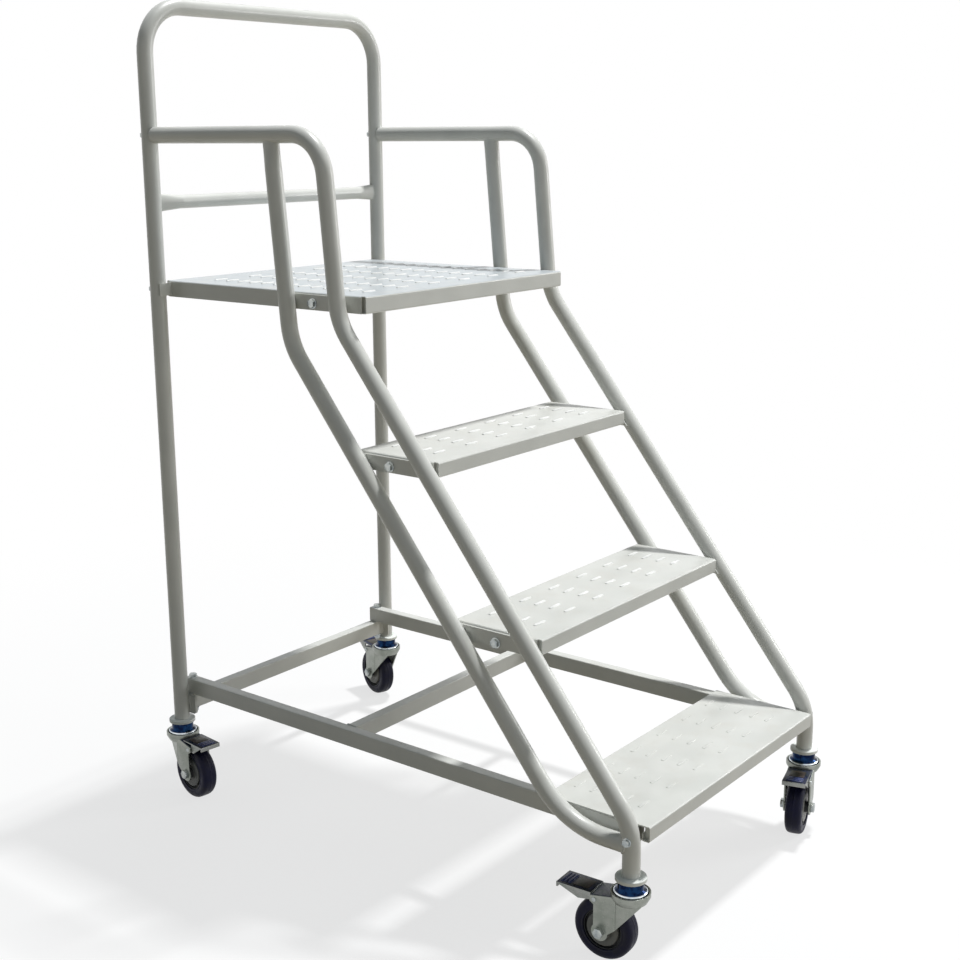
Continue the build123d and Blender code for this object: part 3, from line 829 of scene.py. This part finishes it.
print("weld beads:", count, "with", len(welds.data.polygons), "faces")

# %% [markdown]
# The front and rear flanges of each tread turn in and up again, so their ends are open channels. A small
# plate is set into each end, a little way in from the edge. It is a box that fits between the channel's
# walls, with its edges bevelled.

# %% Plates in the channels' ends
SHEET = 2.0 * MM
CHANNEL_D = 10.0 * MM       # clear between the flange and its lip
PLATE_T = 1.5 * MM
PLATE_EDGE = 0.3 * MM
PLATE_IN = 6.0 * MM
TREAD_HALF = 273.7 * MM     # the platform's box is wider, since it has ears behind the posts

for tread in GRIP_ROWS:
    low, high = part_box(tread)
    tall = high[2] - low[2] - 2 * SHEET
    half = high[0] if tread == "bottom_tread" else TREAD_HALF
    middles = [low[1] + SHEET + CHANNEL_D / 2]
    # The platform's rear flange lies between the posts, so only its front channel shows its ends.
    if tread != "platform":
        middles.append(high[1] - SHEET - CHANNEL_D / 2)
    plates = []
    for side in (-1, 1):
        for middle_y in middles:
            place = (side * (half - PLATE_IN - PLATE_T / 2), middle_y, low[2] + SHEET + tall / 2)
            plate = block("plate", place, (PLATE_T, CHANNEL_D, tall))
            edit_faces(plate, lambda middle, normal: True)
            bpy.ops.mesh.bevel(offset=PLATE_EDGE, segments=2)
            object_mode()
            plates.append(plate)
    count = len(plates)
    hand_over(joined(f"{tread}_end_plates", plates), "frame", FINISHES["paint"])
    print(tread, count, "end plates")

# %% [markdown]
# ## Casters
#
# A caster's wheel is turned: a tyre with round shoulders and a fine mould line, a nearly black ring that
# carries it, and grey thread guards in front of the hub. They are spun once round the axle of a caster
# that stands at the origin with its trail along +X, and copied to the four corners. Each takes the place
# of the model's plain tyre or hub.

# %% Wheel outlines
TRAIL = 40.0
WHEEL_R = 50.0
AXLE = Vector((TRAIL, 0, WHEEL_R)) * MM
CASTERS = (("front_left", -1, FRONT_Y, 94.0), ("rear_left", -1, REAR_Y, -98.0),
           ("rear_right", 1, REAR_Y, 72.0), ("front_right", 1, FRONT_Y, 195.0))   # side, y, trail's heading
BRAKED = "front_left"       # its pedal is pressed down


def both_halves(half):
    """Closed outline (radius, half width) from the half with positive width."""
    whole = half + [(r, -w) for r, w in reversed(half)]
    return whole + [whole[0]]


SHOULDER_MIDDLE = (42.0, 7.0)
SHOULDER_R = 7.8
SHOULDER = [(SHOULDER_MIDDLE[0] + SHOULDER_R * math.sin(math.radians(angle)),
             SHOULDER_MIDDLE[1] + SHOULDER_R * math.cos(math.radians(angle))) for angle in range(0, 91, 15)]
TYRE_HALF = ([(33.0, 14.6), (33.6, 15.0), (35.4, 15.0), (35.8, 14.7), (36.6, 14.7), (37.0, 15.0)]
             + SHOULDER + [(49.9, 3.0), (49.9, 0.25), (50.0, 0.1)])
RING_HALF = [(5.05, 20.5), (9.6, 20.5), (10.0, 20.1), (10.0, 10.0), (24.0, 8.0), (31.0, 8.0), (31.0, 12.7),
             (31.3, 13.0), (32.7, 13.0), (33.0, 12.7)]
GUARD = [(10.1, 9.0), (10.1, 14.0), (13.0, 14.0), (13.8, 13.4), (15.2, 13.4), (16.0, 14.0), (25.6, 14.0),
         (26.6, 13.6), (27.0, 12.6), (27.0, 9.0), (10.1, 9.0)]



def wheel_part(name, outline, steps=72):
    """Piece of the wheel, spun round the axle."""
    return lathe(name, outline, AXLE, ALONG_Y, ALONG_Z, steps)


wheel_pieces = {
    "tyre": (wheel_part("tyre", both_halves(TYRE_HALF), 96), "tyre_rubber", tyre_rubber),
    "hub": (wheel_part("hub", both_halves(RING_HALF)), "hub_plastic", hub_plastic),
}
guards = joined("guards", [wheel_part("guard", GUARD), wheel_part("guard", [(r, -w) for r, w in GUARD])])
wheel_masters = [guards] + [piece for piece, _, _ in wheel_pieces.values()]
print("wheel:", sum(len(piece.data.polygons) for piece in wheel_masters), "faces")

# %% Wheels in their places
def corner_place(side, y, heading):
    """Matrix from the caster at the origin to its corner."""
    place = Matrix.Translation(Vector((side * FRAME_HALF, y, 0)) * MM)
    return place @ Matrix.Rotation(math.radians(heading), 4, "Z")


places = {corner: corner_place(side, y, heading) for corner, side, y, heading in CASTERS}
for corner, place in places.items():
    for node_name, (master, slot, material) in wheel_pieces.items():
        wheel = copy_of(master, f"{corner}_turned_{node_name}", place)
        hand_over(wheel, f"{corner}_wheel", material, angle=50)
        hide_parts(f"{corner}_{node_name}")
    twin = copy_of(guards, f"{corner}_thread_guards", place)
    hand_over(twin, f"{corner}_wheel", guard_plastic, angle=50)
print("wheels:", len(places))

# %% [markdown]
# ## Softened pressings
#
# The model's forks, pedals, swivel heads, rings and wheel bolts have the right shapes but knife-sharp
# edges. Pressed and plated steel has small round edges that catch the light. A copy of each is merged, its
# flat triangles are dissolved into whole faces, and a narrow bevel rounds every edge sharper than 30
# degrees. The fork is first pressed further: its creases are drawn down beside the wheel and grooved. The
# casters are alike, so each piece is softened once and copied, apart from the pedal, which is pressed down
# at one corner and released at the others.

# %% Softened pressings
CREASE_S = 14.0             # fork's crease along the trail
CREASE_CORNER = (80.0, -20.0)    # its lower corner's level and move down
CREASE_GROOVE = (1.3, 1.1)  # half width and depth of the pressed groove on the crease
FORK_OUTER = 23.3
SOFTENED = {
    "fork": ("swivel", 0.45, "zinc", fork_zinc),
    "axle": ("swivel", 0.40, "zinc", bolt_zinc),
    "caster_head": (None, 0.35, "zinc", swivel_zinc),
    "collar": (None, 0.45, "collar_plastic", ring_plastic),
    "pedal": ("swivel", 0.45, "zinc", pedal_zinc),
}


def merged_copy(node_name, place):
    """Copy of a model piece, brought from its corner to the origin, with whole faces for its triangles."""
    piece = copy_of(nodes[node_name], f"{node_name}_master", place.inverted())
    alone(piece)
    bpy.ops.object.mode_set(mode="EDIT")
    bpy.ops.mesh.select_mode(type="VERT")
    bpy.ops.mesh.select_all(action="SELECT")
    bpy.ops.mesh.remove_doubles(threshold=0.002 * MM)
    bpy.ops.mesh.dissolve_limited(angle_limit=math.radians(1.0))
    bpy.ops.object.mode_set(mode="OBJECT")
    return piece


def shape_fork(piece):
    """Draw the creases down beside the wheel and press a groove into each crease."""
    level, move = CREASE_CORNER
    edit_points(piece, lambda point: abs(point.x / MM - CREASE_S) < 1 and abs(point.z / MM - level) < 1)
    bpy.ops.transform.translate(value=(0, 0, move * MM))
    object_mode()
    half_width, depth = CREASE_GROOVE
    for side in (-1, 1):
        edit_points(piece, lambda point: abs(point.x / MM - CREASE_S) < 0.5
                    and abs(point.y * side / MM - FORK_OUTER) < 0.5)
        bpy.ops.mesh.select_mode(type="EDGE")
        bpy.ops.mesh.bevel(offset=half_width * MM, segments=2, affect="EDGES")
        object_mode()
        edit_points(piece, lambda point: abs(point.x / MM - CREASE_S) < 0.4
                    and abs(point.y * side / MM - FORK_OUTER) < 0.7)
        bpy.ops.transform.translate(value=(0, -side * depth * MM, 0))
        object_mode()


def soften(piece, width):
    """Round the sharp edges."""
    alone(piece)
    bpy.ops.object.modifier_add(type="BEVEL")
    edge = piece.modifiers[-1]
    edge.width = width * MM
    edge.segments = 2
    edge.limit_method = "ANGLE"
    edge.angle_limit = math.radians(30)
    edge.miter_outer = "MITER_ARC"
    bpy.ops.object.modifier_apply(modifier=edge.name)


soft_masters = {}
for kind, (_, width, _, _) in SOFTENED.items():
    for corner in (BRAKED, "rear_left") if kind == "pedal" else (BRAKED,):
        master = merged_copy(f"{corner}_{kind}", places[corner])
        if kind == "fork":
            shape_fork(master)
        soften(master, width)
        soft_masters[kind, corner] = master

for corner, place in places.items():
    for kind, (body, _, slot, material) in SOFTENED.items():
        like = "rear_left" if kind == "pedal" and corner != BRAKED else BRAKED
        piece = copy_of(soft_masters[kind, like], f"{corner}_softened_{kind}", place)
        hand_over(piece, f"{corner}_{body}" if body else "frame", material, angle=35)
        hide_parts(f"{corner}_{kind}")
print("softened:", ", ".join(SOFTENED))

# %% [markdown]
# ## Ribs, panels and rivets of the casters
#
# The pedal's plate has three pressed ribs near its tip, which stop a shoe from slipping, and a raised panel
# behind them. A rib is the tread grip again, turned across the plate. A rivet at each side of the fork's top
# is the pin on which the pedal turns.

# %% Pedal ribs and rivets
PEDAL_LENGTH = 60.0
PRESSED = (57.3, 109.5, 0.5)     # pedal's start along the trail, its top there, and its rise to the tip
RELEASED = (31.5, 115.0, 1.0)
RIBS_FROM_TIP = (7.0, 13.0, 19.0)
PANEL = (8.0, 34.0, 13.0, 0.7)   # from and to along the pedal, half width, height
PANEL_CHAMFER = 0.9 * MM
RIVET = [(0.0, 0.0), (3.9, 0.0), (3.8, 0.7), (3.1, 1.3), (2.0, 1.7), (1.0, 1.85), (0.0, 1.9)]
RIVET_PLACE = (50.0, 101.0)      # along the trail and up


def pedal_panel():
    """Low raised panel, one unit long, in the plate's middle."""
    start, end, half, height = (size * MM for size in PANEL)
    panel = block("panel", ((start + end) / 2, 0, 0), (end - start, 2 * half, height))
    raise_top(panel, PANEL_CHAMFER, 0.5 * height)
    return panel


rib = copy_of(grip, "rib", Matrix.Rotation(math.pi / 2, 4, "Z"))
panel = pedal_panel()
rivet = lathe("rivet", RIVET, (0, 0, 0), ALONG_Z, ALONG_X, 24)

for corner, place in places.items():
    start, top, rise = PRESSED if corner == BRAKED else RELEASED
    tilt = Matrix.Rotation(-math.atan(rise / PEDAL_LENGTH), 4, "Y")
    plate = place @ Matrix.Translation(Vector((start, 0, top)) * MM) @ tilt
    ribs = [copy_of(rib, "rib", plate @ Matrix.Translation(Vector((PEDAL_LENGTH - back, 0, 0)) * MM))
            for back in RIBS_FROM_TIP]
    hand_over(joined(f"{corner}_pedal_ribs", ribs), f"{corner}_swivel", rib_zinc, angle=60)
    twin = copy_of(panel, f"{corner}_pedal_panel", plate)
    hand_over(twin, f"{corner}_swivel", panel_zinc, angle=30)
    s, z = RIVET_PLACE
    pins = [copy_of(rivet, "pin", place @ towards(Vector((s, side * FORK_OUTER, z)) * MM, (0, side, 0)))
            for side in (-1, 1)]
    hand_over(joined(f"{corner}_pedal_rivets", pins), f"{corner}_swivel", bolt_zinc, angle=60)
print("ribs for each pedal:", len(RIBS_FROM_TIP))

# %% [markdown]
# The masters have done their work and go, so that only the copies in their places are left.

# %% Clear the bench
for master in (grip, bolt_head, nut, rib, panel, rivet, *soft_masters.values(), *wheel_masters):
    bpy.data.objects.remove(master, do_unlink=True)
